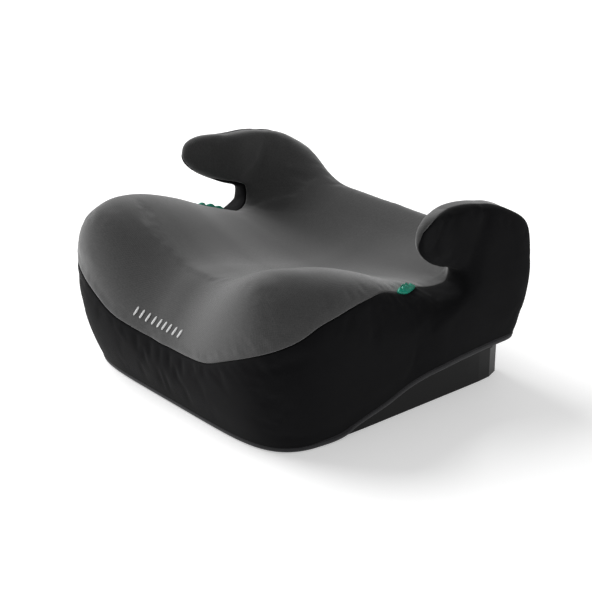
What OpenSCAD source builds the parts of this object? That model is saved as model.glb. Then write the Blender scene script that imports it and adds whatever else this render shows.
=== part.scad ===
// Backless booster seat: moulded base with two forward-curling belt arms, foam pads and a two-tone
// sewn cover. Millimetres, +Z up, the front faces -Y, origin at the bottom centre of the base.

/* [Overall] */
// half of the width at the widest part of the cover
half_width = 203; // [190:1:220]
// distance from the origin to the front of the cover
front = 206; // [180:1:220]
// distance from the origin to the rear panel of the cover
rear = 177; // [165:1:190]
// height of the lowest spot of the seat pan
pan_height = 116; // [100:1:130]
// how much the thigh bolsters stand above the pan
bolster_rise = 57; // [30:1:70]

/* [Arms] */
// inner face of each arm, from the centre plane
arm_inner = 169; // [150:1:180]
// thickness of an arm over the cover
arm_thick = 34; // [24:1:44]
// edge rounding of the arms
arm_round = 12; // [6:0.5:14]
// plane of the seam between the inner and the outer arm cover
arm_seam = 190; // [180:1:196]

/* [Cover] */
// cloth thickness with its lining
cloth = 1.8; // [1:0.1:4]
// seam height at the middle of the front
seam_front = 86; // [60:1:110]
// height of the folded hem band
hem_band = 6; // [4:0.5:12]

/* [Base] */
// half width of the plastic skirt
skirt_half = 181; // [160:1:185]
// wall thickness of the plastic moulding
wall = 3; // [2:0.5:6]
// top of the deck that carries the seat foam
deck_top = 88; // [70:1:100]

/* [Hidden] */

GREY = [0.45, 0.46, 0.47];
BLACK = [0.12, 0.12, 0.13];
FOAM = [0.85, 0.84, 0.78];
PLASTIC = [0.07, 0.07, 0.08];
GREEN = [0.2, 0.75, 0.62];
WHITE = [0.92, 0.92, 0.92];

clear = 0.3;         // gap kept between neighbouring layers
skirt_front = 158;   // front face of the skirt
skirt_rear = 177;    // rear face of the skirt
shelf = 47;          // height of the step under the arms
core_x = 182;        // inner face of the arm core
core = 9;            // thickness of the arm core
core_front = 46;     // the arm's tip in front of this has no core, only foam
slope = 0.93;        // slope factor of the edge rounding
shift_y = 10.2;      // moves the finished part so that its box is centred on the origin

// ---- tables: [position, value] -------------------------------------------------------------
// centre line of the pan above its lowest spot, by y
centre_rise = [[-215, -24], [-180, -2], [-140, 11], [-90, 13], [-30, 5], [40, 0], [100, 2], [135, 13],
               [165, 32], [190, 40]];
// bolster crest, as a share of the bolster rise, by y
crest_share = [[-215, 0.05], [-180, 0.55], [-140, 0.95], [-110, 1], [-75, 1], [-38, 0.88], [0, 0.62], [30, 0.37],
               [55, 0.18], [80, 0.1], [110, 0.35], [160, 0.62], [190, 0.7]];
// seam height above the front seam, by distance along the front
seam_rise = [[0, 0], [50, 1], [88, 6], [110, 11], [135, 18], [155, 28], [172, 37], [190, 48], [203, 60]];
// seam height on the sides, by y
seam_side = [[-150, 146], [-104, 150], [-60, 156], [-30, 156], [0, 148], [30, 136], [60, 126], [90, 122]];
// lower edge of the cover on the sides, by y
hem_height = [[-100, 1], [-75, 4], [-59, 10], [-17, 21], [6, 31], [32, 38], [66, 42], [115, 45], [180, 48]];
// side outline of an arm, seen from +x: y, z
arm_outline = [[-3, 196], [4, 182], [20, 171], [44, 168], [64, 163], [76, 154], [81, 140], [81, 122], [81, 100],
               [81, 80], [83, 62], [92, 51], [108, 48], [130, 48], [146, 56], [159, 74], [169, 96], [176, 122],
               [178, 152], [170, 180], [152, 203], [124, 217], [90, 224], [56, 225], [24, 221], [4, 211]];

// ---- shape functions -----------------------------------------------------------------------
function clamp01(t) = min(1, max(0, t));
function smooth(a, b, x) = let (t = clamp01((x - a) / (b - a))) t * t * (3 - 2 * t);
function mix(a, b, t) = a + (b - a) * t;
// table value, rounded at its corners
function soft(table, x) = (lookup(x - 12, table) + 2 * lookup(x, table) + lookup(x + 12, table)) / 4;

// top surface over the plan position (x, y)
function pan(x, y) =
    let (c = pan_height + soft(centre_rise, y), e = pan_height + bolster_rise * soft(crest_share, y),
         fillet = 34 * smooth(84, 115, y) * (1 - smooth(135, 172, y)) * pow(smooth(105, arm_inner, abs(x)), 2))
    mix(c, e, smooth(0.25, 0.93, abs(x) / half_width)) + fillet;

// plan outline: distance from the origin along the ray at the angle a, drawn in by d
function squircle(a, w, l, n) = pow(pow(abs(cos(a)) / w, n) + pow(abs(sin(a)) / l, n), -1 / n);
function steep(a) = atan2(sin(a), abs(cos(a)));
function behind(a) = steep(a) > 22;
function plan(a, d) = behind(a) ? squircle(a, arm_inner - clear - d, rear - d, 7)
                    : squircle(a, half_width - d, steep(a) < 0 ? front - d : 400, 5.2);
// share of the front in the direction of a ray: 0 on the sides, 1 at the front
function frontness(a) = smooth(-40, -64, steep(a));
// edge rounding along the outline
function edge(a) = behind(a) ? mix(4, 24, smooth(40, 70, steep(a))) : mix(32, 62, frontness(a));
// the walls lean in towards the floor below the height full_height
function taper(a) = behind(a) ? 0.05 : mix(0.09, 0.185, frontness(a));
function full_height(a) = mix(130, 100, frontness(a));
function shrink(a, z) = 1 - taper(a) * pow(1 - clamp01(z / full_height(a)), 2);

function wall_point(a, z, d) = let (r = plan(a, d) * shrink(a, z)) [r * cos(a), r * sin(a), z];
// top point at the distance w inside the outline (w is negative)
function top_point(a, w, d) =
    let (k = edge(a), r = plan(a, d) + w, drop = w > -k ? w - k + 2 * sqrt(-k * w) : 0,
         z = pan(r * cos(a), r * sin(a)) - d + drop / slope, s = shrink(a, z))
    [r * s * cos(a), r * s * sin(a), z];
function wall_top(a) = top_point(a, 0, 0)[2];
function seam_height(a) =
    let (p = wall_point(a, 130, 0))
    mix(seam_front + soft(seam_rise, abs(p[0])), lookup(p[1], seam_side), smooth(-170, -120, p[1]));
// how far inside the outline the seam lies
function seam_inset(a) =
    let (k = edge(a), p = top_point(a, -k / 3, 0), t = min(0, (seam_height(a) - pan(p[0], p[1])) * slope))
    -pow(min(0.9 * sqrt(k), max(0.6, sqrt(k) - sqrt(-t))), 2);
function hem_z(a) = let (p = wall_point(a, 0, 0)) lookup(p[1], hem_height);

// ---- rays --------------------------------------------------------------------------------
half_rays = concat([for (i = [0:22]) -90 + i * 4], [0, 4, 8, 12, 16, 19, 21.6], [24.5, 28, 32, 36, 40, 44],
                   [for (i = [0:9]) 48 + i * 4.4]);
all_rays = concat(half_rays, [for (i = [len(half_rays) - 1:-1:1]) 180 - half_rays[i]]);
front_rays = concat([for (i = [0:6]) -180 - [21.6, 19, 16, 12, 8, 4, 0][i]],
                    [for (i = [0:44]) -178 + i * 4], [0, 4, 8, 12, 16, 19, 21.6]);
rear_rays = [for (i = [0:24]) mix(46, 134, i / 24)];

// ---- builders ------------------------------------------------------------------------------
// closed skin through a stack of rings; both end rings are closed by rungs between opposite points
module loft(rings) {
    n = len(rings[0]);
    m = len(rings);
    last = (m - 1) * n;
    sides = [for (j = [0:m - 2], i = [0:n - 1])
        let (a = j * n + i, b = j * n + (i + 1) % n) each [[a, b, b + n], [a, b + n, a + n]]];
    rungs = [for (i = [0:ceil(n / 2) - 2]) let (k = n - 1 - i)
        each i + 1 < k - 1 ? [[i, k, k - 1], [i, k - 1, i + 1]] : [[i, k, k - 1]]];
    ends = [for (f = rungs) [f[0] + last, f[2] + last, f[1] + last]];
    polyhedron([for (r = rings) each r], concat(rungs, sides, ends), convexity = 10);
}

// a layer of the side wall between the insets d0 and d1, from the height z0 to the inset w of the top
function wall_layer(a, d0, d1, z0, w) =
    let (zt = max(wall_top(a), z0 + 1),
         levels = [for (t = [0, 0.33, 0.66, 1]) mix(z0, zt, t)],
         insets = [for (t = [0.3, 0.65, 1]) w * t])
    concat([for (z = levels) wall_point(a, z, d0)], [for (i = insets) top_point(a, i, d0)],
           [for (i = [2:-1:0]) top_point(a, insets[i], d1)], [for (i = [3:-1:0]) wall_point(a, levels[i], d1)]);

// one surface of the top, as rings that end in a small level ring at the centre; the first ring
// lies on the seam, or under the crest for the foam
function top_rings(d, from_seam) =
    concat([for (t = [0, 0.35, 0.7, 1, 1.4, 2, 2.7, 3.4])
        [for (a = all_rays)
            let (k = -edge(a), w = from_seam ? seam_inset(a) : foam_inset(a), end = -plan(a, d) * 0.97)
            top_point(a, t < 1 ? mix(w, k, t) : mix(k, end, (t - 1) / 3), d)]],
        [[for (a = all_rays) [4 * cos(a), 4 * sin(a), pan(0, 0) - d]]]);

// the seat foam ends under the crest in front and at the outline beside and behind the arms
function foam_inset(a) = behind(a) ? -0.6 : -0.9 * edge(a);

function reverse(list) = [for (i = [len(list) - 1:-1:0]) list[i]];

// arm outline smoothed to twice its points and drawn in by d
arm_curve = [for (i = [0:len(arm_outline) - 1])
    let (n = len(arm_outline), p = [for (k = [-1:2]) arm_outline[(i + k + n) % n]])
    each [p[1], (9 * (p[1] + p[2]) - p[0] - p[3]) / 16]];
function arm_loop(x, d) =
    let (n = len(arm_curve))
    [for (i = [0:n - 1])
        let (p = arm_curve[i], t = arm_curve[(i + 1) % n] - arm_curve[(i + n - 1) % n], u = t / norm(t))
        [x, p[0] - u[1] * d, p[1] + u[0] * d]];
// rings of a rounded slab face at x0 that runs to the plane x1; side is +1 when the slab lies outward
function arm_rings(x0, x1, r, d) =
    let (s = x1 > x0 ? 1 : -1)
    concat([for (f = [0, 30, 60, 90]) arm_loop(x0 + s * r * (1 - cos(f)), d + r * (1 - sin(f)))],
           [arm_loop(x1, d)]);

module for_side(side) {
    if (side > 0) children();
    else mirror([1, 0, 0]) children();
}

// moves a finished sub-part into the shared frame
module place() {
    translate([0, shift_y, 0]) children();
}

// ---- sub-parts -----------------------------------------------------------------------------
module square_at(x0, y0, x1, y1) {
    translate([x0, y0]) square([x1 - x0, y1 - y0]);
}

// plan of the skirt drawn in by d; the upper part is narrower beside the arms
module skirt_plan(d, upper = false) {
    polygon([for (a = all_rays)
        let (r = steep(a) < 0 ? squircle(a, skirt_half - d, skirt_front - d, 5)
               : !upper ? squircle(a, skirt_half - d, skirt_rear - d, 14)
               : behind(a) ? squircle(a, arm_inner - 13 - d, skirt_rear - 4 - d, 7) : (skirt_half - d) / abs(cos(a)))
        [r * cos(a), r * sin(a)]]);
}

// flat plate of the arm's side outline, drawn in by d, between two x planes and two y planes
module arm_plate(x0, x1, y0, y1, d) {
    translate([x0, 0, 0]) rotate([90, 0, 90]) linear_extrude(height = x1 - x0) intersection() {
        polygon([for (p = arm_loop(0, d)) [p[1], p[2]]]);
        square_at(y0, 0, y1, 300);
    }
}

// tongue that joins an arm core to the shelf of the skirt, grown by d
module tongue(d) {
    translate([skirt_half - 12, 99 - d, shelf - wall - d]) cube([core_x + core - skirt_half + 12 + d, 42 + 2 * d, 14 + 2 * d]);
}

module base_shell() {
    color(PLASTIC) place() union() {
        difference() {
            union() {
                linear_extrude(height = shelf) skirt_plan(0);
                translate([0, 0, shelf - wall]) linear_extrude(height = deck_top - shelf + wall) skirt_plan(0, true);
            }
            translate([0, 0, -1]) linear_extrude(height = shelf - wall + 1) skirt_plan(wall);
            translate([0, 0, -1]) linear_extrude(height = deck_top - wall + 1) skirt_plan(wall, true);
            translate([-200, -200, -1]) cube([400, 118, 4]);
        }
        // shallow stiffening ribs under the deck
        for (x = [-120, -60, 0, 60, 120])
            translate([x - 1.25, -156, deck_top - 8]) cube([2.5, skirt_rear + 154, 6]);
        for (y = [-100, -40, 20, 80, 130])
            translate([-arm_inner + 16, y - 1.25, deck_top - 8]) cube([2 * arm_inner - 32, 2.5, 6]);
        for (side = [-1, 1]) for_side(side) {
            arm_plate(core_x, core_x + core, core_front, 300, 4);
            tongue(0);
        }
    }
}

module seat_foam() {
    d = cloth + clear;
    foot = [for (a = all_rays) let (p = top_point(a, foam_inset(a), d)) [p[0], p[1], deck_top + clear]];
    color(FOAM) place() loft(concat(reverse(top_rings(d, false)), [foot]));
}

module side_foam() {
    d = cloth + clear;
    color(FOAM) place() loft([for (a = front_rays)
        let (z0 = max(hem_z(a) + 8, 9), zt = max(wall_top(a), z0 + 1), levels = [for (t = [0, 0.33, 0.66, 1]) mix(z0, zt, t)],
             w = -edge(a) * 0.88, p = top_point(a, w, d), low = wall_point(a, z0, d + 5), r = norm([low[0], low[1]]))
        concat([for (z = levels) wall_point(a, z, d)],
               [for (t = [0.15, 0.45, 0.75, 1]) top_point(a, w * t, d)],
               [[p[0], p[1], deck_top + clear], [r * cos(a), r * sin(a), deck_top + clear], low])]);
}

// pad on one face of an arm core
module arm_foam(side, inner) {
    d = cloth + clear;
    x0 = inner ? arm_inner + d : arm_inner + arm_thick - d;
    x1 = inner ? core_x - clear : core_x + core + clear;
    color(FOAM) place() for_side(side) resize([0, 0, 0]) difference() {
        union() {
            loft(arm_rings(x0, x1, min(arm_round - d, abs(x1 - x0) - 0.2), d));
            if (!inner) arm_plate(core_x, x1 + 1, -100, core_front - clear, 4.5);
        }
        if (inner) tongue(clear);
    }
}
module arm_foam_inner_left() { arm_foam(-1, true); }
module arm_foam_inner_right() { arm_foam(1, true); }
module arm_foam_outer_left() { arm_foam(-1, false); }
module arm_foam_outer_right() { arm_foam(1, false); }

module cover_seat_panel() {
    color(GREY) place() loft(concat(reverse(top_rings(0, true)), top_rings(cloth, true)));
}

module cover_front_band() {
    color(BLACK) place() loft([for (a = front_rays) wall_layer(a, 0, cloth, hem_z(a) + hem_band, seam_inset(a))]);
}

module cover_rear_panel() {
    color(BLACK) place() loft([for (a = rear_rays) wall_layer(a, 0, cloth, 48, seam_inset(a))]);
}

module arm_cover(side, inner) {
    x0 = inner ? arm_inner : arm_inner + arm_thick;
    s = inner ? 1 : -1;
    color(inner ? GREY : BLACK) place() for_side(side) difference() {
        loft(concat(arm_rings(x0, arm_seam - s * clear / 2, arm_round, 0),
                    reverse(arm_rings(x0 + s * cloth, arm_seam - s * clear / 2, arm_round - cloth, cloth))));
        tongue(clear);
    }
}
module cover_arm_inner_left() { arm_cover(-1, true); }
module cover_arm_inner_right() { arm_cover(1, true); }
module cover_arm_outer_left() { arm_cover(-1, false); }
module cover_arm_outer_right() { arm_cover(1, false); }

module hem_binding() {
    color(BLACK) place() loft([for (a = front_rays)
        let (z = hem_z(a)) [wall_point(a, z, -0.6), wall_point(a, z + hem_band - clear, -0.6),
                            wall_point(a, z + hem_band - clear, cloth + 0.6), wall_point(a, z, cloth + 0.6)]]);
}

module hem_elastic() {
    color(BLACK) place() translate([0, 0, 0.6]) linear_extrude(height = 2.2) difference() {
        intersection() { skirt_plan(-3); square_at(-150, -200, 150, -150); }
        square_at(-200, -152, 200, 0);
    }
}

module hem_hooks() {
    color(PLASTIC) place() for (x = [-110, -40, 40, 110]) translate([x - 7, 0, 0])
        rotate([90, 0, 90]) linear_extrude(height = 14)
            polygon([[-151.7, 0.6], [-149.7, 0.6], [-149.7, 14], [-153.2, 18.5], [-154.4, 17.3], [-151.7, 13]]);
}

module belt_guide(side) {
    color(GREEN) place() for_side(side) loft([for (a = [-3:2:11])
        let (insets = [-24, -18, -12, -7, -3, -0.8])
        concat([for (w = insets) top_point(a, w, -0.4)], [for (i = [5:-1:0]) top_point(a, insets[i], -2.8)])]);
}
module belt_guide_left() { belt_guide(-1); }
module belt_guide_right() { belt_guide(1); }

module front_badge() {
    color(WHITE) place() loft([for (x = [-52:6:20])
        let (a = atan2(-front, x), w = seam_inset(a), insets = [for (t = [5, 9, 13]) w - t])
        concat([for (i = insets) top_point(a, i, -0.8)], [for (i = [2:-1:0]) top_point(a, insets[i], -0.2)])]);
}

// ---- output --------------------------------------------------------------------------------
base_shell();
seat_foam();
side_foam();
arm_foam_inner_left();
arm_foam_inner_right();
arm_foam_outer_left();
arm_foam_outer_right();
cover_seat_panel();
cover_front_band();
cover_rear_panel();
cover_arm_inner_left();
cover_arm_inner_right();
cover_arm_outer_left();
cover_arm_outer_right();
hem_binding();
hem_elastic();
hem_hooks();
belt_guide_left();
belt_guide_right();
front_badge();
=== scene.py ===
"""Visual model of a backless booster seat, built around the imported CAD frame.

The padded body is one smooth solid given by a distance function in millimetres. It is meshed, given a
slight relief by a cloth simulation, and cut along the seam into a grey top panel and a black band. Each
panel gets rolled-in edges and real thickness.
"""
import math
import bpy
import numpy as np
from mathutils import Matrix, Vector
from mathutils.kdtree import KDTree


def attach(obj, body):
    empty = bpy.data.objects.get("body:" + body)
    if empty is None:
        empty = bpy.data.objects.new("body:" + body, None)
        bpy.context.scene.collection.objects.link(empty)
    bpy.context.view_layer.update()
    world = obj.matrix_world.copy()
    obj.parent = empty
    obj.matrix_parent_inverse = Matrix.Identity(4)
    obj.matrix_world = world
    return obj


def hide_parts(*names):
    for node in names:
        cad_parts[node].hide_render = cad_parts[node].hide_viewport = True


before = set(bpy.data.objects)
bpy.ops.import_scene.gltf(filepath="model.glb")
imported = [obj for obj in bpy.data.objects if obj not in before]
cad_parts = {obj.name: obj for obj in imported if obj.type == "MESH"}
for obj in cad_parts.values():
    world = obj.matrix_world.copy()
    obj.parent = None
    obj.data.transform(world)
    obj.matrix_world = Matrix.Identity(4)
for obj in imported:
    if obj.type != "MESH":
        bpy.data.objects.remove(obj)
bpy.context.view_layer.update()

# ---- shape values, in millimetres ------------------------------------------------------------
SHIFT_Y = 6.5             # the shape is drawn about the pan's centre; the frame about the box's
CAD_Y = 3.7               # the CAD base's own shape lies this far behind the drawn one
CELL = 3.0                # size of the mesh cells of the cover
CLOTH_CELL = 6.0          # the same for the copy that is simulated
FOAM_CELL = 7.0           # and for the foam
SIDE = (185.0, 207.5, 135.0)    # half width at the floor, the widest, and the height of the widest
FRONT = (166.0, 187.7, 100.0)   # the same three for the reach to the front
REAR = (176.0, 185.5, 120.0)    # and for the reach to the rear
LEAN = 0.05               # the sides lean in above their widest height
CORNER_FRONT, CORNER_REAR = 5.7, 4.5      # superellipse powers of the plan
# how softly the top turns into the walls
ROUND_FRONT, ROUND_SIDE, ROUND_SLOT, ROUND_REAR = 90.0, 50.0, 46.0, 22.0
TOP_SLOPE = 0.93          # scales a height above the top surface to about the distance from it
CREST = (0.06, 0.8)       # where the top climbs from the pan to the crest, by share of the half width
ARM_THICK, ARM_TIP, ARM_ROUND = 34.0, 11.5, 12.5    # thickness of an arm and of its tip, and edge rounding
SPLAY = 8.0               # the arm tips stand out this much beyond the sides
FILLET_SLOT, FILLET_PAN = 16.0, 90.0      # between the arm and the body, in the slot and in the pan
DENT, DENT_Y, DENT_REACH = 5.0, 44.0, 40.0   # the side wall is drawn in below the slot

# height of the top surface along y, on the centre line and near the side
CENTRE_LINE = [(-215, 118), (-180, 136), (-140, 146), (-90, 143), (-30, 129), (40, 116), (100, 122),
               (135, 137), (165, 158), (190, 166)]
SIDE_LINE = [(-215, 190), (-180, 219), (-140, 202), (-110, 193), (-75, 185), (-38, 172), (0, 155),
             (30, 144), (55, 136), (80, 134), (110, 144), (160, 161), (190, 167)]
# side outline of an arm: y, z
ARM_LINE = [(3, 206), (9, 193), (24, 180), (47, 168), (64, 162), (80, 151), (84, 130), (84, 80), (96, 48),
            (128, 44), (148, 62), (163, 92), (173, 122), (175, 152), (165, 185), (145, 209), (120, 222),
            (88, 229), (54, 230), (26, 230), (8, 222)]
# the seam: its height across the front by |x|, how it climbs along y, and its place on the arms
SEAM_FRONT = [(0, 79), (50, 82), (92, 89), (120, 101), (139, 109), (162, 119), (185, 129), (200, 136),
              (206, 140)]
SEAM_CLIMB = [(-215, 0), (-165, 0), (-147, 4), (-126, 12), (-101, 17), (-73, 23), (-43, 26), (10, 26),
              (200, 26)]
SEAM_ARM, SEAM_SLOT, SEAM_REAR = 190.0, 23.0, 180.0    # |x| on the arms, how far in at the slot, y behind
SEAM_TIP, SEAM_TIP_TOP = 12, 6       # how far the seam moves out at an arm's tip, and more at its top
# height of the cover's lower edge along y
HEM_LINE = [(-190, 1.2), (-110, 1.2), (-75, 4), (-59, 11), (-17, 25), (6, 35), (32, 43), (66, 48),
            (115, 52), (180, 55)]
ROLL, SKIN = 2.0, 3.2     # radius of a rolled seam edge, and thickness of cover and wadding
HEM_WIDTH = 7.6
HEM_LOWEST = 0.4          # the hem stays this far above the floor
DRIFT = 1.4               # simulated cloth lies at most 1.6 times this inside the plain shape, 0.4 outside
DRIFT_BIAS = 0.6          # how much of DRIFT the cloth as a whole is moved inward
CLOTH_FRAMES = 20         # length of the cloth simulation
# the room that the foam leaves for the moulded base: half width, front and rear reach, and height
SKIRT_HALF, SKIRT_FRONT, SKIRT_REAR, SKIRT_TOP = 183.0, 160.0, 182.0, 88.5
GUIDE_ENDS = (-3, 38)     # where a belt guide starts and ends along y
MARK_START, MARK_STEP, MARK_COUNT, MARK_HEIGHT = -45, 9, 9, 107.0     # the row of stitches on the front


# ---- shape functions -------------------------------------------------------------------------
def smooth(low, high, x):
    """0 at low, 1 at high, level at both ends."""
    t = np.clip((x - low) / (high - low), 0, 1)
    return t * t * (3 - 2 * t)


def curve(points, x):
    """Smooth curve through control points."""
    knots = np.array(points, float)
    X, Y = knots.T
    slope = np.gradient(Y, X)
    i = np.clip(np.searchsorted(X, x) - 1, 0, len(X) - 2)
    h = X[i + 1] - X[i]
    t = np.clip((x - X[i]) / h, 0, 1)
    t2, t3 = t * t, t ** 3
    return ((2 * t3 - 3 * t2 + 1) * Y[i] + (t3 - 2 * t2 + t) * h * slope[i]
            + (3 * t2 - 2 * t3) * Y[i + 1] + (t3 - t2) * h * slope[i + 1])


def soft_max(a, b, k):
    """The larger of two distances, rounded over k where they are alike."""
    h = np.maximum(k - np.abs(a - b), 0) / k
    return np.maximum(a, b) + h * h * k * 0.25


def soft_min(a, b, k):
    """The smaller of two distances, rounded in the same way."""
    return -soft_max(-a, -b, k)


def closed_spline(points, steps=6):
    """Smooth closed line through the points."""
    p = np.array(points, float)
    t = (np.arange(steps) / steps)[:, None]
    parts = []
    for i in range(len(p)):
        a, b, c, d = p[i - 1], p[i], p[(i + 1) % len(p)], p[(i + 2) % len(p)]
        parts.append(0.5 * (2 * b + (c - a) * t + (2 * a - 5 * b + 4 * c - d) * t ** 2
                            + (3 * b - a - 3 * c + d) * t ** 3))
    return np.concatenate(parts)


ARM_LOOP = closed_spline(ARM_LINE)
TABLE_START, TABLE_END = (-300.0, -40.0), (280, 300)      # y and z that the arm's distance table covers


def outline_distance(y, z):
    """Signed distance from the arm's side outline."""
    nearest = np.full(y.shape, 1e9)
    inside = np.zeros(y.shape, bool)
    for a, b in zip(ARM_LOOP, np.roll(ARM_LOOP, -1, 0)):
        e = b - a
        dy, dz = y - a[0], z - a[1]
        t = np.clip((dy * e[0] + dz * e[1]) / (e @ e), 0, 1)
        nearest = np.minimum(nearest, (dy - e[0] * t) ** 2 + (dz - e[1] * t) ** 2)
        if abs(e[1]) > 1e-9:
            inside ^= ((a[1] > z) != (b[1] > z)) & (y < e[0] * dz / e[1] + a[0])
    return np.where(inside, -1, 1) * np.sqrt(nearest)


OUTLINE_TABLE = outline_distance(*np.meshgrid(
    *[np.arange(start, end) for start, end in zip(TABLE_START, TABLE_END)], indexing="ij"))


def arm_outline(y, z):
    """The same distance, read from a table with one value per millimetre."""
    u = np.clip(y - TABLE_START[0], 0, OUTLINE_TABLE.shape[0] - 1.001)
    v = np.clip(z - TABLE_START[1], 0, OUTLINE_TABLE.shape[1] - 1.001)
    i, j = u.astype(int), v.astype(int)
    s, t = u - i, v - j
    low = OUTLINE_TABLE[i, j] * (1 - s) + OUTLINE_TABLE[i + 1, j] * s
    high = OUTLINE_TABLE[i, j + 1] * (1 - s) + OUTLINE_TABLE[i + 1, j + 1] * s
    return low * (1 - t) + high * t


def half_sizes(z):
    """Half width, front and rear reach of the body at a height."""
    def at(low, high, widest):
        return high - (high - low) * np.clip(1 - z / widest, 0, 1) ** 2
    return at(*SIDE) - LEAN * np.maximum(z - SIDE[2], 0), at(*FRONT), at(*REAR)


def splay(y):
    """How far an arm stands out beyond the side."""
    return SPLAY * smooth(70, 0, y)


def body_field(x, y, z):
    """Distance from the body without its arms."""
    a, front, rear = half_sizes(z)
    a = a - DENT * np.exp(-((y - DENT_Y) / DENT_REACH) ** 2) * smooth(112, 148, z)
    n = np.where(y < 0, CORNER_FRONT, CORNER_REAR)
    b = np.where(y < 0, front, rear)
    wall = ((np.abs(x / a) ** n + np.abs(y / b) ** n) ** (1 / n) - 1) * np.minimum(a, b)
    centre, side = curve(CENTRE_LINE, y), curve(SIDE_LINE, y)
    top = (z - centre - (side - centre) * smooth(*CREST, np.abs(x) / SIDE[1])) * TOP_SLOPE
    rounding = (ROUND_SLOT + (ROUND_SIDE - ROUND_SLOT) * smooth(0, -75, y)
                + (ROUND_REAR - ROUND_SLOT) * smooth(70, 125, y)
                + (ROUND_FRONT - ROUND_SIDE) * smooth(-90, -185, y))
    return soft_max(wall, top, rounding)


def arm_field(x, y, z, outline):
    """Distance from the arms, which are rounded slabs with the side outline."""
    thick = ARM_TIP + (ARM_THICK - ARM_TIP) * smooth(-12, 75, y)
    r = np.minimum(ARM_ROUND, thick * 0.47)
    across = np.abs(np.abs(x) - half_sizes(z)[0] - splay(y) + thick / 2) - thick / 2 + r
    along = outline + r
    outside = np.hypot(np.maximum(across, 0), np.maximum(along, 0))
    return np.minimum(np.maximum(across, along), 0) + outside - r


def seat_field(x, y, z, outline=None):
    """Distance from the outside of the padded seat, negative inside."""
    if outline is None:
        outline = arm_outline(y, z)
    a, _, rear = half_sizes(z)
    fillet = FILLET_SLOT + (FILLET_PAN - FILLET_SLOT) * np.maximum(smooth(60, 130, y), smooth(148, 108, z))
    d = soft_min(body_field(x, y, z), arm_field(x, y, z, outline), fillet)
    d = soft_max(d, np.abs(x) - a - 2 - splay(y) * smooth(165, 185, z), 8)
    d = soft_max(d, y - rear - 4, 12)
    return soft_max(d, -z, 4)


def seam_field(p):
    """Positive on the grey side of the seam."""
    x, y, z = np.abs(p[:, 0]), p[:, 1], p[:, 2]
    low = z - curve(SEAM_FRONT, x) - curve(SEAM_CLIMB, y)
    limit = (SEAM_ARM - SEAM_SLOT * np.exp(-((y - 50) / 40) ** 2) * smooth(178, 160, z)
             + (SEAM_TIP + SEAM_TIP_TOP * smooth(185, 222, z)) * smooth(70, 10, y) * smooth(165, 180, z))
    side = np.minimum(limit - x, z - 100)
    w = smooth(-60, 10, y)
    return np.minimum(low * (1 - w) + side * w, SEAM_REAR - y)


def hem_field(p):
    """Positive above the lower edge of the cover."""
    return p[:, 2] - curve(HEM_LINE, p[:, 1])


def gradient(field, p, e=0.8):
    """Slope of a field at each point, over steps of e."""
    axes = np.eye(3) * e
    return np.stack([field(p + a) - field(p - a) for a in axes], 1) / (2 * e)


def seat_at(p):
    """seat_field for an array of points."""
    return seat_field(p[:, 0], p[:, 1], p[:, 2])


def unit(v):
    """Rows scaled to length 1."""
    return v / np.maximum(np.linalg.norm(v, axis=1), 1e-9)[:, None]


# ---- meshing ---------------------------------------------------------------------------------
def surface_nets(axes, values):
    """Quads around the zero surface of a grid of values."""
    inside = values < 0
    cells = [n - 1 for n in values.shape]
    count, total = np.zeros(cells), np.zeros(cells + [3])
    corners = [(i, j, k) for i in (0, 1) for j in (0, 1) for k in (0, 1)]

    def corner(grid, c):
        return grid[tuple(slice(o, n + o) for o, n in zip(c, cells))]
    for a in corners:
        for axis in [i for i in range(3) if a[i] == 0]:
            b = tuple(1 if i == axis else a[i] for i in range(3))
            va, vb = corner(values, a), corner(values, b)
            cross = (va < 0) != (vb < 0)
            point = np.tile(np.array(a, float), cells + [1])
            point[..., axis] += np.where(cross, va / np.where(cross, va - vb, 1), 0)
            total += np.where(cross[..., None], point, 0)
            count += cross
    used = count > 0
    index = np.full(cells, -1)
    index[used] = np.arange(used.sum())
    place = np.argwhere(used) + total[used] / count[used][:, None]
    verts = np.stack([axes[i][0] + place[:, i] * (axes[i][1] - axes[i][0]) for i in range(3)], 1)
    quads = []
    for axis in range(3):
        u, v = (axis + 1) % 3, (axis + 2) % 3
        low, high = [slice(1, -1)] * 3, [slice(1, -1)] * 3
        low[axis], high[axis] = slice(0, -1), slice(1, None)
        a, b = inside[tuple(low)], inside[tuple(high)]
        for outward, found in ((True, a & ~b), (False, ~a & b)):
            base = np.argwhere(found)
            ring = []
            for du, dv in ((0, 0), (1, 0), (1, 1), (0, 1)):
                c = base.copy()
                c[:, u] += du
                c[:, v] += dv
                ring.append(index[c[:, 0], c[:, 1], c[:, 2]])
            quad = np.stack(ring, 1)
            quads.append(quad if outward else quad[:, ::-1])
    return verts, np.concatenate(quads)


def neighbour_mean(verts, quads):
    """For each point, the mean of the points it shares an edge with."""
    total, count = np.zeros_like(verts), np.zeros(len(verts))
    for k in range(4):
        a, b = quads[:, k], quads[:, (k + 1) % 4]
        for i, j in ((a, b), (b, a)):
            for c in range(3):
                total[:, c] += np.bincount(i, verts[j, c], len(verts))
            count += np.bincount(i, minlength=len(verts))
    return total / count[:, None]


def project(verts, field, steps=2):
    """Points moved onto the zero surface of a field."""
    for _ in range(steps):
        g = gradient(field, verts)
        verts = verts - g * (field(verts) / np.maximum((g * g).sum(1), 0.05))[:, None] * 0.95
    return verts


def grid_axes(cell, *spans):
    """Grid lines a cell apart over each span."""
    return [np.arange(low, high + cell, cell) for low, high in spans]


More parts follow.
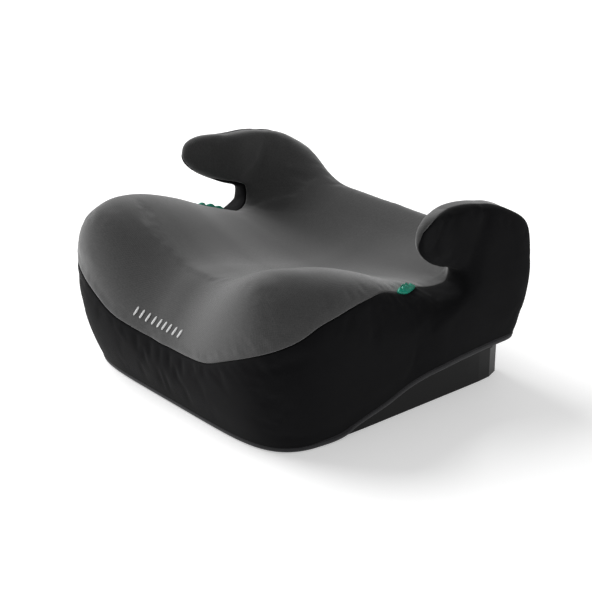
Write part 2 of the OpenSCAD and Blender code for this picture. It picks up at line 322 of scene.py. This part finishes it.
def seat_mesh(cell):
    """Even quad mesh of the padded seat."""
    axes = grid_axes(cell, (-225, 225), (-222, 200), (-9, 246))
    X, Y, Z = np.meshgrid(*axes, indexing="ij")
    flat_y, flat_z = np.meshgrid(axes[1], axes[2], indexing="ij")
    verts, quads = surface_nets(axes, seat_field(X, Y, Z, arm_outline(flat_y, flat_z)[None]))
    for _ in range(3):
        verts = project(verts * 0.4 + neighbour_mean(verts, quads) * 0.6, seat_at, 1)
    return project(verts, seat_at), quads


def clip(verts, faces, h):
    """The part of a mesh where h is positive, cut cleanly along h = 0."""
    verts, h = [v for v in verts], list(h)
    cuts = {}

    def crossing(i, j):
        key = (min(i, j), max(i, j))
        if key not in cuts:
            cuts[key] = len(verts)
            verts.append(verts[i] + (verts[j] - verts[i]) * (h[i] / (h[i] - h[j])))
            h.append(0.0)
        return cuts[key]
    kept = []
    for face in faces:
        if min(h[i] for i in face) >= 0:
            kept.append(tuple(face))
        elif max(h[i] for i in face) > 0:
            poly = []
            for i, j in zip(face, list(face[1:]) + [face[0]]):
                if h[i] >= 0:
                    poly.append(i)
                if h[i] * h[j] < 0:
                    poly.append(crossing(i, j))
            if len(poly) > 2:
                kept.append(tuple(poly))
    used = sorted({i for face in kept for i in face})
    renumber = {old: new for new, old in enumerate(used)}
    return np.array([verts[i] for i in used]), [tuple(renumber[i] for i in f) for f in kept]


def snap(verts, h, slope, reach):
    """Move points that lie within reach of the cut onto it."""
    near = np.abs(h) < reach
    moved = verts - np.where(near, h, 0)[:, None] * slope
    return moved, np.where(near, 0, h)


def cut_along(verts, faces, field, offset):
    """Clip by a field's true distance along the surface, less an offset."""
    g = gradient(field, verts)
    n = unit(gradient(seat_at, verts))
    g -= n * (g * n).sum(1)[:, None]
    size = np.maximum(np.linalg.norm(g, axis=1), 0.15)
    h = field(verts) / size - offset
    verts, h = snap(verts, h, g / size[:, None], CELL * 0.3)
    return clip(verts, faces, h)


def edge_frames(verts, faces, normals):
    """Open edges, and at each of their points the direction into the panel."""
    seen = {}
    for face in faces:
        for i, j in zip(face, face[1:] + face[:1]):
            seen[(i, j)] = face
    edges = [(i, j) for (i, j) in seen if (j, i) not in seen]
    into = np.zeros_like(verts)
    for i, j in edges:
        t = np.cross(normals[i] + normals[j], verts[j] - verts[i])
        into[i] += t
        into[j] += t
    into -= normals * (into * normals).sum(1)[:, None]
    return edges, unit(into)


def thick_panel(verts, faces, normals, roll, skin):
    """Closed panel: outer face, rolled-in edges and inner face."""
    edges, into = edge_frames(verts, faces, normals)
    rim = sorted({i for e in edges for i in e})
    where = {v: k for k, v in enumerate(rim)}
    base, t, n = verts[rim], into[rim], normals[rim]
    rings = [base - t * roll * math.sin(a) - n * roll * (1 - math.cos(a)) for a in np.radians((30, 60, 90))]
    rings.append(base - t * roll - n * skin)
    count = len(verts)
    inner = count + len(rim) * len(rings)
    points = np.concatenate([verts] + rings + [verts - normals * skin])
    skirt = []
    for i, j in edges:
        a = [i] + [count + k * len(rim) + where[i] for k in range(len(rings))] + [inner + i]
        b = [j] + [count + k * len(rim) + where[j] for k in range(len(rings))] + [inner + j]
        skirt += [(b[k], a[k], a[k + 1], b[k + 1]) for k in range(len(a) - 1)]
    return points, faces + skirt + [tuple(inner + i for i in reversed(f)) for f in faces]


def add_piece(name, verts, faces, mat, replaces=(), smooth_faces=True):
    """New object in metres that rides on the body."""
    mesh = bpy.data.meshes.new(name)
    placed = (verts + np.array([0, SHIFT_Y, 0])) / 1000
    mesh.from_pydata(placed.tolist(), [], [tuple(map(int, f)) for f in faces])
    mesh.validate()
    mesh.polygons.foreach_set("use_smooth", [smooth_faces] * len(mesh.polygons))
    mesh.materials.append(mat)
    obj = bpy.data.objects.new(name, mesh)
    bpy.context.scene.collection.objects.link(obj)
    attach(obj, "root")
    if replaces:
        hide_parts(*replaces)
    return obj


# ---- materials -------------------------------------------------------------------------------
class Nodes:
    """Small helper to write node trees."""

    def __init__(self, name):
        self.mat = bpy.data.materials.new(name)
        self.mat.use_nodes = True
        self.tree = self.mat.node_tree
        self.shader = self.tree.nodes["Principled BSDF"]
        self.coords = self.add("ShaderNodeTexCoord").outputs["Object"]

    def add(self, kind, **settings):
        node = self.tree.nodes.new(kind)
        for key, value in settings.items():
            setattr(node, key, value)
        return node

    def put(self, socket, value):
        if isinstance(value, bpy.types.NodeSocket):
            self.tree.links.new(value, socket)
        else:
            socket.default_value = value

    def scaled(self, scale):
        node = self.add("ShaderNodeMapping")
        self.put(node.inputs["Vector"], self.coords)
        node.inputs["Scale"].default_value = scale
        return node.outputs[0]

    def noise(self, scale, detail=2.0, rough=0.5):
        node = self.add("ShaderNodeTexNoise")
        self.put(node.inputs["Vector"], self.scaled(scale))
        node.inputs["Scale"].default_value = 1.0
        node.inputs["Detail"].default_value = detail
        node.inputs["Roughness"].default_value = rough
        return node.outputs["Fac"]

    def math(self, kind, a, b=0.0, c=0.0):
        node = self.add("ShaderNodeMath", operation=kind)
        for socket, value in zip(node.inputs, (a, b, c)):
            self.put(socket, value)
        return node.outputs[0]

    def between(self, value, low, high, out_low=0.0, out_high=1.0):
        node = self.add("ShaderNodeMapRange")
        keys = ("Value", "From Min", "From Max", "To Min", "To Max")
        for key, v in zip(keys, (value, low, high, out_low, out_high)):
            self.put(node.inputs[key], v)
        return node.outputs[0]

    def mix(self, factor, a, b):
        node = self.add("ShaderNodeMix", data_type="RGBA")
        self.put(node.inputs["Factor"], factor)
        self.put(node.inputs["A"], a)
        self.put(node.inputs["B"], b)
        return node.outputs["Result"]

    def weave(self, period):
        """Height of a fine woven grid on every side, with threads along the other two axes."""
        parts = self.add("ShaderNodeSeparateXYZ")
        self.put(parts.inputs[0], self.coords)
        facing = self.add("ShaderNodeSeparateXYZ")
        self.put(facing.inputs[0], self.add("ShaderNodeNewGeometry").outputs["Normal"])
        total = 0.0
        for axis in range(3):
            thread = self.math("SINE", self.math("MULTIPLY", parts.outputs[axis], 2000 * math.pi / period))
            flat = self.between(self.math("ABSOLUTE", facing.outputs[axis]), 0.85, 0.6)
            total = self.math("ADD", total, self.math("MULTIPLY", thread, flat))
        return total

    def bump(self, height, strength, distance, normal=None):
        node = self.add("ShaderNodeBump")
        self.put(node.inputs["Height"], height)
        node.inputs["Strength"].default_value = strength
        node.inputs["Distance"].default_value = distance
        if normal is not None:
            self.put(node.inputs["Normal"], normal)
        return node.outputs[0]

    def finish(self, colour, rough, normal=None, **fixed):
        self.put(self.shader.inputs["Base Color"], colour)
        self.put(self.shader.inputs["Roughness"], rough)
        if normal is not None:
            self.put(self.shader.inputs["Normal"], normal)
        for key, value in fixed.items():
            self.shader.inputs[key.replace("_", " ")].default_value = value
        return self.mat


def grey(value, blue=1.0):
    """A grey that leans to blue when blue is above 1."""
    return (value, value, value * blue, 1.0)


def cloth_material(name, dark, light, period, weave_depth, fleck, sheen, blue, gloss):
    """Knitted or woven cloth: mottled yarn, woven relief and a soft sheen."""
    n = Nodes(name)
    yarn = n.noise((620, 620, 620), 3.0, 0.65)
    streak = n.noise((180, 900, 900), 2.0, 0.6)
    patch = n.noise((14, 14, 14), 2.0)
    weave = n.weave(period)
    tone = n.math("ADD", n.math("MULTIPLY", n.math("SUBTRACT", yarn, 0.5), fleck),
                  n.math("MULTIPLY", n.math("SUBTRACT", streak, 0.5), fleck * 0.8))
    tone = n.math("ADD", tone, n.math("MULTIPLY", n.math("SUBTRACT", patch, 0.5), 0.5))
    tone = n.math("ADD", tone, n.math("MULTIPLY", weave, 0.08))
    colour = n.mix(n.between(tone, -1.0, 1.0), grey(dark, blue), grey(light, blue))
    relief = n.bump(weave, 0.35, weave_depth)
    relief = n.bump(yarn, 0.25, weave_depth * 1.6, relief)
    rough = n.between(patch, 0.3, 0.7, 0.82, 0.94)
    return n.finish(colour, rough, relief, Sheen_Weight=sheen, Sheen_Roughness=0.45,
                    Specular_IOR_Level=gloss)


def plastic_material(name, colour, light_colour, rough, grain, gloss):
    """Moulded plastic: fine grain, slight colour drift and rubbed patches."""
    n = Nodes(name)
    speck = n.noise((900, 900, 900), 2.0, 0.6)
    patch = n.noise((25, 25, 25), 3.0)
    mixed = n.mix(n.between(patch, 0.35, 0.7), colour, light_colour)
    worn = n.between(patch, 0.3, 0.7, rough - 0.07, rough + 0.08)
    return n.finish(mixed, worn, n.bump(speck, 0.3, grain), Specular_IOR_Level=gloss)


GREY_CLOTH = cloth_material("grey_heather_cloth", dark=0.028, light=0.072, period=1.7, weave_depth=0.00012,
                            fleck=1.5, sheen=0.5, blue=1.0, gloss=0.12)
BLACK_CLOTH = cloth_material("black_stretch_cloth", dark=0.0028, light=0.005, period=1.3,
                             weave_depth=0.00008, fleck=0.8, sheen=0.03, blue=1.15, gloss=0.08)
HEM_CLOTH = cloth_material("black_hem_tape", dark=0.016, light=0.026, period=2.0, weave_depth=0.00015,
                           fleck=0.8, sheen=0.1, blue=1.1, gloss=0.35)
LINING = cloth_material("foam_lining", dark=0.012, light=0.022, period=2.6, weave_depth=0.0002,
                        fleck=0.8, sheen=0.05, blue=1.0, gloss=0.1)
ELASTIC = cloth_material("ribbed_elastic", dark=0.008, light=0.016, period=1.0, weave_depth=0.0002,
                         fleck=0.8, sheen=0.05, blue=1.0, gloss=0.1)
THREAD = cloth_material("sewing_thread", dark=0.008, light=0.018, period=0.8, weave_depth=0.00008,
                        fleck=0.8, sheen=0.05, blue=1.0, gloss=0.15)
MARK_THREAD = cloth_material("light_mark_thread", dark=0.6, light=0.8, period=0.7, weave_depth=0.00008,
                             fleck=0.3, sheen=0.1, blue=1.0, gloss=0.2)
SHELL_PLASTIC = plastic_material("satin_black_plastic", (0.0022, 0.0022, 0.0024, 1),
                                 (0.004, 0.004, 0.0043, 1), rough=0.36, grain=0.00004, gloss=0.16)
GUIDE_PLASTIC = plastic_material("teal_plastic", (0.004, 0.27, 0.17, 1),
                                 (0.006, 0.33, 0.22, 1), rough=0.3, grain=0.00002, gloss=0.5)

# ---- cover panels ----------------------------------------------------------------------------
seat_verts, seat_quads = seat_mesh(CELL)
seat_faces = [tuple(q) for q in seat_quads.tolist()]


def cloth_drift(cell):
    """Points of the cover, and a slight relief taken from cloth that is held at its seams.

    Left free, the cloth swells by centimetres. Only its small offsets come through. The rest end at the
    limit that DRIFT sets, so the cover's shape is close to the plain one.
    """
    verts, quads = seat_mesh(cell)
    mesh = bpy.data.meshes.new("cloth_copy")
    mesh.from_pydata((verts / 1000).tolist(), [], quads.tolist())
    pad = bpy.data.objects.new("cloth_copy", mesh)
    bpy.context.scene.collection.objects.link(pad)
    held = pad.vertex_groups.new(name="held")
    at_seam = (np.abs(seam_field(verts)) < 5) | (hem_field(verts) < 12)
    held.add(np.flatnonzero(at_seam).tolist(), 1.0, "REPLACE")
    cloth = pad.modifiers.new("cloth", "CLOTH")
    cloth.collision_settings.use_collision = False
    cloth.point_cache.frame_start, cloth.point_cache.frame_end = 1, CLOTH_FRAMES
    settings = dict(vertex_group_mass="held", use_pressure=True, uniform_pressure_force=4.0, quality=5,
                    mass=0.3, shrink_min=-0.012, bending_stiffness=0.4, tension_stiffness=15,
                    compression_stiffness=15, shear_stiffness=5)
    for key, value in settings.items():
        setattr(cloth.settings, key, value)
    cloth.settings.effector_weights.gravity = 0
    for step in range(1, CLOTH_FRAMES + 1):
        bpy.context.scene.frame_set(step)
    result = pad.evaluated_get(bpy.context.evaluated_depsgraph_get())
    moved = np.empty(len(verts) * 3)
    result.data.vertices.foreach_get("co", moved)
    off = ((moved.reshape(-1, 3) * 1000 - verts) * unit(gradient(seat_at, verts))).sum(1)
    bpy.context.scene.frame_set(1)
    bpy.data.objects.remove(pad)
    return verts, DRIFT * (np.tanh(off / DRIFT) - DRIFT_BIAS) * smooth(8, 40, hem_field(verts))


drift_points, drifts = cloth_drift(CLOTH_CELL)
drift_tree = KDTree(len(drift_points))
for i, p in enumerate(drift_points):
    drift_tree.insert(p, i)
drift_tree.balance()


def drift_at(points):
    """The limited cloth offset at any points, as a blend of the nearest simulated ones."""
    found = []
    for p in points:
        near = drift_tree.find_n(p, 5)
        share = [1 / (0.5 + d) ** 2 for _, _, d in near]
        found.append(sum(w * drifts[i] for w, (_, i, _) in zip(share, near)) / sum(share))
    return np.array(found)


seat_verts = seat_verts + unit(gradient(seat_at, seat_verts)) * drift_at(seat_verts)[:, None]


def cover_panel(name, fields, mat, replaces):
    """The part of the cover inside the fields, each with its offset, as a thick panel."""
    verts, faces = seat_verts, seat_faces
    for field, offset in fields:
        verts, faces = cut_along(verts, faces, field, offset)
    normals = unit(gradient(seat_at, verts))
    points, faces = thick_panel(verts, faces, normals, ROLL, SKIN)
    panel = add_piece(name, points, faces, mat, replaces)


cover_panel(
    "cover_top_panel", [(seam_field, ROLL + 0.1)], GREY_CLOTH,
    ("cover_seat_panel", "cover_arm_inner_left", "cover_arm_inner_right"))
cover_panel(
    "cover_side_band", [(lambda p: -seam_field(p), ROLL + 0.1), (hem_field, 1.5)],
    BLACK_CLOTH,
    ("cover_front_band", "cover_rear_panel", "cover_arm_outer_left", "cover_arm_outer_right"))


# ---- foam body under the cover ---------------------------------------------------------------
def skirt_field(x, y, z):
    """The moulded base that the foam is shaped around."""
    n = np.where(y < 0, 5, 14)
    reach = np.where(y < 0, SKIRT_FRONT, SKIRT_REAR)
    plan = ((np.abs(x) / SKIRT_HALF) ** n + (np.abs(y) / reach) ** n) ** (1 / n) - 1
    return soft_max(plan * SKIRT_FRONT, z - SKIRT_TOP, 6)


def foam_at(p):
    """Distance from the foam: inside the cover, outside the base and above the hem."""
    x, y, z = p.T
    d = soft_max(seat_at(p) + SKIN + 0.4 + DRIFT, -skirt_field(x, y, z), 3)
    return soft_max(d, curve(HEM_LINE, y) + 9 - z, 3)


def foam_mesh(cell):
    """Quad mesh of the foam."""
    axes = grid_axes(cell, (-222, 222), (-216, 192), (-6, 240))
    grid = np.stack(np.meshgrid(*axes, indexing="ij"), -1)
    return surface_nets(axes, foam_at(grid.reshape(-1, 3)).reshape(grid.shape[:3]))


foam_verts, foam_quads = foam_mesh(FOAM_CELL)
foam = add_piece("foam_body", foam_verts, foam_quads.tolist(), LINING,
                 ("seat_foam", "side_foam", "arm_foam_inner_left", "arm_foam_inner_right",
                  "arm_foam_outer_left", "arm_foam_outer_right"))


# ---- hem and its stitches --------------------------------------------------------------------
def hem_points(spacing):
    """Points on the cover just at its lower edge, evenly spaced round the seat."""
    turn = np.linspace(0, 2 * math.pi, 2400, endpoint=False)
    c, s = np.cos(turn), np.sin(turn)
    z = np.full(turn.shape, 20.0)
    for _ in range(8):
        a, front, rear = half_sizes(z)
        n = np.where(s < 0, CORNER_FRONT, CORNER_REAR)
        b = np.where(s < 0, front, rear)
        r = (np.abs(c / a) ** n + np.abs(s / b) ** n) ** (-1 / n)
        z = curve(HEM_LINE, r * s)
    p = np.stack([r * c, r * s, z], 1)
    for _ in range(4):
        g = gradient(seat_at, p) * np.array([1, 1, 0]) * smooth(6, 14, z)[:, None]
        p -= g * (seat_at(p) / np.maximum((g * g).sum(1), 0.5))[:, None]
    step = np.linalg.norm(np.roll(p, -1, 0) - p, axis=1)
    run = np.concatenate([[0], np.cumsum(step)])
    wanted = np.linspace(0, run[-1], int(run[-1] / spacing), endpoint=False)
    looped = np.concatenate([p, p[:1]])
    return np.stack([np.interp(wanted, run, looped[:, k]) for k in range(3)], 1)


def sweep(path, frames, profile):
    """Closed tube of a closed profile along a closed path; the profile is in the frame's two axes."""
    side, out = frames
    m = len(profile)
    points = np.concatenate([path + side * u + out * v for u, v in profile])
    n = len(path)
    faces = []
    for j in range(m):
        for i in range(n):
            a, b = j * n + i, j * n + (i + 1) % n
            c, d = ((j + 1) % m) * n + (i + 1) % n, ((j + 1) % m) * n + i
            faces.append((a, b, c, d))
    return points, faces


def wall_frames(p):
    """Up along the wall, and out of it."""
    lifted = p + np.array([0, 0, 6.0])
    out = gradient(seat_at, lifted)
    out[:, 2] *= 0.3
    out = unit(out)
    along = unit(np.roll(p, -1, 0) - np.roll(p, 1, 0))
    up = unit(np.cross(out, along))
    return up, out


def hem_route(spacing):
    """Path of the hem, kept above the floor, and the wall's two directions along it."""
    path = hem_points(spacing)
    up, out = wall_frames(path)
    path[:, 2] += np.maximum(HEM_LOWEST - path[:, 2], 0)
    return path, up, out


hem_path, hem_up, hem_out = hem_route(4.0)
# up the wall and out from it
hem_profile = [(0.0, 0.6), (1.2, 1.5), (3.8, 2.0), (6.2, 1.6), (HEM_WIDTH, 0.7), (HEM_WIDTH + 0.2, -0.6),
               (HEM_WIDTH, -2.6), (4.0, -3.4), (0.8, -3.2), (-0.2, -1.4)]
points, faces = sweep(hem_path, (hem_up, hem_out), hem_profile)
add_piece("hem_band", points, faces, HEM_CLOTH, ("hem_binding",))


def capsule(centre, along, out, length, radius):
    """Small rounded bar, slightly flattened on the cloth."""
    side = np.cross(along, out)
    m, points = 6, []
    for x, r in ((-0.5, 0.35), (-0.38, 0.85), (0, 1.0), (0.38, 0.85), (0.5, 0.35)):
        for k in range(m):
            a = 2 * math.pi * k / m
            round_it = side * math.cos(a) + out * math.sin(a) * 0.8
            points.append(centre + along * x * length + round_it * r * radius)
    faces = [(j * m + k, j * m + (k + 1) % m, (j + 1) * m + (k + 1) % m, (j + 1) * m + k)
             for j in range(4) for k in range(m)]
    faces += [tuple(reversed(range(m))), tuple(range(4 * m, 5 * m))]
    return points, faces


def row_of_capsules(name, centres, alongs, outs, length, radius, mat, replaces=()):
    """One piece made of many capsules."""
    points, faces = [], []
    for c, a, o in zip(centres, alongs, outs):
        p, f = capsule(c, a, o, length, radius)
        faces += [tuple(i + len(points) for i in face) for face in f]
        points += p
    add_piece(name, np.array(points), faces, mat, replaces)


stitch_path, stitch_up, stitch_out = hem_route(3.6)
row_of_capsules("hem_stitches", stitch_path + stitch_up * 5.9 + stitch_out * 1.8,
                unit(np.roll(stitch_path, -1, 0) - np.roll(stitch_path, 1, 0)), stitch_out, 2.5, 0.36,
                THREAD)


# ---- belt guides -----------------------------------------------------------------------------
def seam_points(ys):
    """Points where the seam crosses the slot's lip, one for each y."""
    xs = np.arange(150, 203, 0.5)
    start = np.full((len(xs), len(ys)), 158.0)
    grid = np.stack([*np.meshgrid(xs, ys, indexing="ij"), start], -1).reshape(-1, 3)
    for _ in range(40):
        grid[:, 2] -= seat_at(grid) * 0.9
    best = np.abs(seam_field(grid)).reshape(len(xs), len(ys)).argmin(0)
    return grid.reshape(len(xs), len(ys), 3)[best, np.arange(len(ys))]


def belt_guide(side):
    """Thin scalloped plate let into the seam on the lip of the slot."""
    path = seam_points(np.linspace(*GUIDE_ENDS, 61))
    normals = unit(gradient(seat_at, path))
    downs = unit(np.cross(np.gradient(path, axis=0), normals))
    downs *= -np.sign(downs[:, 2:])
    path = path + normals * drift_at(path)[:, None]
    points = []
    for t, p, n, down in zip(np.linspace(0, 1, len(path)), path, normals, downs):
        belly = math.sin(math.pi * t) ** 0.6
        lobes = 0.35 + 0.65 * abs(math.sin(4 * math.pi * t))
        up_edge, low_edge, crest = 0.6 + 6.2 * belly * lobes, 0.6 + 3.4 * belly, 3.0 * belly * lobes
        profile = ((-up_edge, 0.2), (-up_edge, 1.6 + crest), (-up_edge + 0.6, 2.2 + crest), (0, 2.5),
                   (low_edge - 0.6, 2.2), (low_edge, 1.6), (low_edge, 0.2), (0, -1.5))
        points.append([p + down * v + n * lift for v, lift in profile])
    grid = np.array(points)
    grid[..., 0] *= side
    n, m = grid.shape[:2]
    faces = [(i * m + j, i * m + (j + 1) % m, (i + 1) * m + (j + 1) % m, (i + 1) * m + j)
             for i in range(n - 1) for j in range(m)]
    faces += [tuple(reversed(range(m))), tuple(range((n - 1) * m, n * m))]
    if side > 0:
        faces = [tuple(reversed(f)) for f in faces]
    return grid.reshape(-1, 3), faces


for side, word in ((1, "right"), (-1, "left")):
    points, faces = belt_guide(side)
    add_piece("belt_guide_plate_" + word, points, faces, GUIDE_PLASTIC,
              ("belt_guide_" + word,))

# ---- generic stitched mark on the front ------------------------------------------------------
centres, alongs, outs = [], [], []
for k in range(MARK_COUNT):
    x = MARK_START + MARK_STEP * k
    p = project(np.array([[x, -200.0, MARK_HEIGHT]]), seat_at, 8)[0]
    n = unit(gradient(seat_at, p[None]))[0]
    across = unit(np.cross(np.array([0, 0, 1.0]), n)[None])[0]
    rise = np.cross(n, across)
    centres.append(p + n * (0.3 + drift_at(p[None])[0]))
    alongs.append(unit((rise + across * 0.5)[None])[0])
    outs.append(n)
row_of_capsules("front_mark", centres, alongs, outs, 12.0, 1.4, MARK_THREAD,
                ("front_badge",))


# ---- elastic under the front edge ------------------------------------------------------------
def elastic_strip():
    """Ribbed elastic that runs under the front of the base and holds the cover's hem."""
    xs = np.arange(-130, 130.1, 1.5)
    front = -154 * (1 - np.abs(xs / 178) ** 5) ** 0.2 + CAD_Y
    rib = 0.3 * (np.arange(len(xs)) % 2)
    back = np.full(len(xs), -152.3 + CAD_Y)
    ring = [(front, 0.8 + rib), (back, 0.8 + rib), (back, 2.6 - rib), (front, 2.6 - rib)]
    points = np.concatenate([np.stack([xs, y, z], 1) for y, z in ring])
    n = len(xs)
    faces = [(j * n + i, j * n + i + 1, (j + 1) % 4 * n + i + 1, (j + 1) % 4 * n + i)
             for j in range(4) for i in range(n - 1)]
    return points, faces + [(0, n, 2 * n, 3 * n), (4 * n - 1, 3 * n - 1, 2 * n - 1, n - 1)]


points, faces = elastic_strip()
add_piece("front_elastic", points, faces, ELASTIC, ("hem_elastic",), False)

# ---- carried-over nodes ----------------------------------------------------------------------
for name in ("base_shell", "hem_hooks"):
    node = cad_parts[name]
    node.data.materials.clear()
    node.data.materials.append(SHELL_PLASTIC)

# ---- stage, lights and camera ----------------------------------------------------------------
FLOOR = Nodes("pale_floor")
FLOOR.finish(FLOOR.mix(FLOOR.noise((3, 3, 3)), grey(0.86), grey(0.9)), 0.6,
             Emission_Color=grey(1.0), Emission_Strength=0.4)
bpy.ops.mesh.primitive_plane_add(size=14, location=(0, 0, -0.0005))
floor = bpy.context.object
floor.name = "studio_floor"
floor.data.materials.append(FLOOR.mat)


def soft_sun(name, toward, strength, angle):
    """Broad even light from a direction, as from a big studio softbox."""
    data = bpy.data.lights.new(name, "SUN")
    data.energy, data.angle = strength, math.radians(angle)
    lamp = bpy.data.objects.new(name, data)
    lamp.rotation_euler = Vector(toward).to_track_quat("Z", "Y").to_euler()
    bpy.context.scene.collection.objects.link(lamp)


soft_sun("key_light", (-0.76, -0.2, 0.62), 3.3, 50)
soft_sun("side_light", (0.75, 0.35, 0.56), 0.25, 60)
world = bpy.data.worlds.new("studio_world")
world.use_nodes = True
world.node_tree.nodes["Background"].inputs[0].default_value = (1, 1, 1, 1)
world.node_tree.nodes["Background"].inputs[1].default_value = 0.36
bpy.context.scene.world = world
bpy.context.scene.view_settings.view_transform = "Standard"

AZIMUTH, ELEVATION, DISTANCE, LENS = 49.65, 22.42, 1.7011, 89.17
AIM = Vector((0.0077, 0.0068 + SHIFT_Y / 1000, 0.0864))
turn, rise = math.radians(AZIMUTH), math.radians(ELEVATION)
back = Vector((math.sin(turn) * math.cos(rise), -math.cos(turn) * math.cos(rise), math.sin(rise)))
camera_data = bpy.data.cameras.new("camera")
camera_data.lens = LENS
camera_data.sensor_width = 36
camera = bpy.data.objects.new("camera", camera_data)
camera.location = AIM + back * DISTANCE
camera.rotation_euler = back.to_track_quat("Z", "Y").to_euler()
bpy.context.scene.collection.objects.link(camera)
bpy.context.scene.camera = camera
